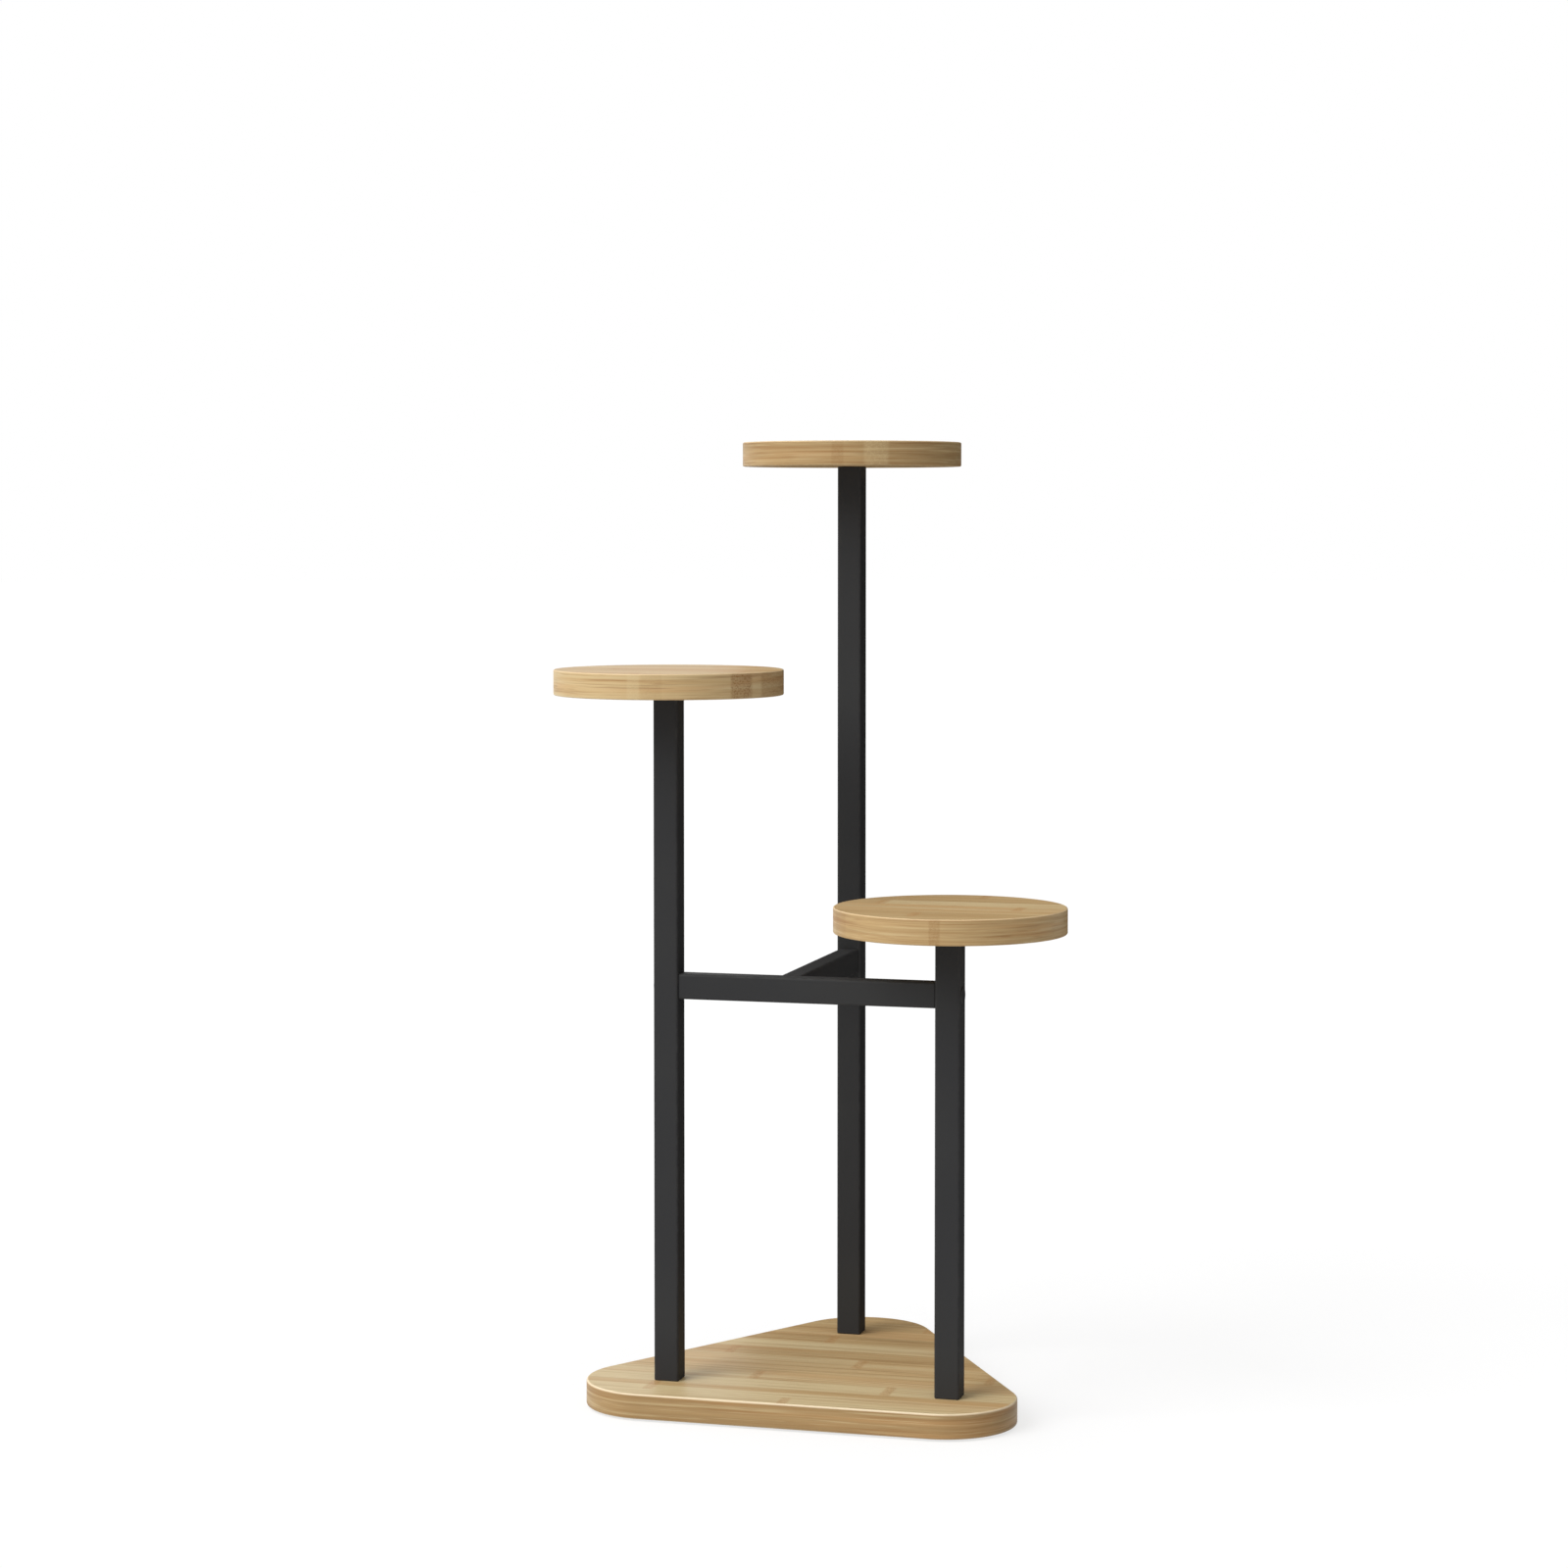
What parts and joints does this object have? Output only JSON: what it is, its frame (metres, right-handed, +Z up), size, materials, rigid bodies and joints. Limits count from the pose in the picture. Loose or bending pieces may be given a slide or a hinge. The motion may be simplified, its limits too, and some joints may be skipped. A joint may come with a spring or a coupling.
{
  "type": "tiered plant stand",
  "caption": "Plant stand with round wooden trays at stepped heights on square black posts, a T-shaped brace and a rounded triangular wooden base.",
  "frame": {"origin": "on the floor, at the middle of the stand's plan: halfway between the two front posts, and halfway from the crossbar to the rear post", "axes": "+Z up from the floor, +X along the crossbar from the middle-height post to the low post, +Y from the crossbar to the tall rear post"},
  "size_m": [0.451, 0.419, 0.846],
  "materials": {
    "wood": "light laminated hardwood, clear satin lacquer",
    "black_steel": "black satin powder coat",
    "black_plastic": "moulded black plastic",
    "zinc_steel": "bright zinc plate",
    "brass_insert": "plain turned brass",
    "felt": "pressed grey felt"
  },
  "bodies": {
    "root": {"base_board": "wood", "base_bolts": "zinc_steel", "base_washers": "zinc_steel", "brace_bolts": "zinc_steel", "brace_weld": "black_steel", "crossbar": "black_steel", "foot_pads": "felt", "hole_caps": "black_plastic", "left_bar_plate": "zinc_steel", "left_foot_plate": "zinc_steel", "left_post": "black_steel", "left_top_plate": "zinc_steel", "left_tray": "wood", "rear_bar": "black_steel", "rear_bar_plate": "zinc_steel", "rear_foot_plate": "zinc_steel", "rear_post": "black_steel", "rear_top_plate": "zinc_steel", "rear_tray": "wood", "right_bar_plate": "zinc_steel", "right_foot_plate": "zinc_steel", "right_post": "black_steel", "right_top_plate": "zinc_steel", "right_tray": "wood", "tray_inserts": "brass_insert", "tray_studs": "zinc_steel"}
  },
  "joints": []
}
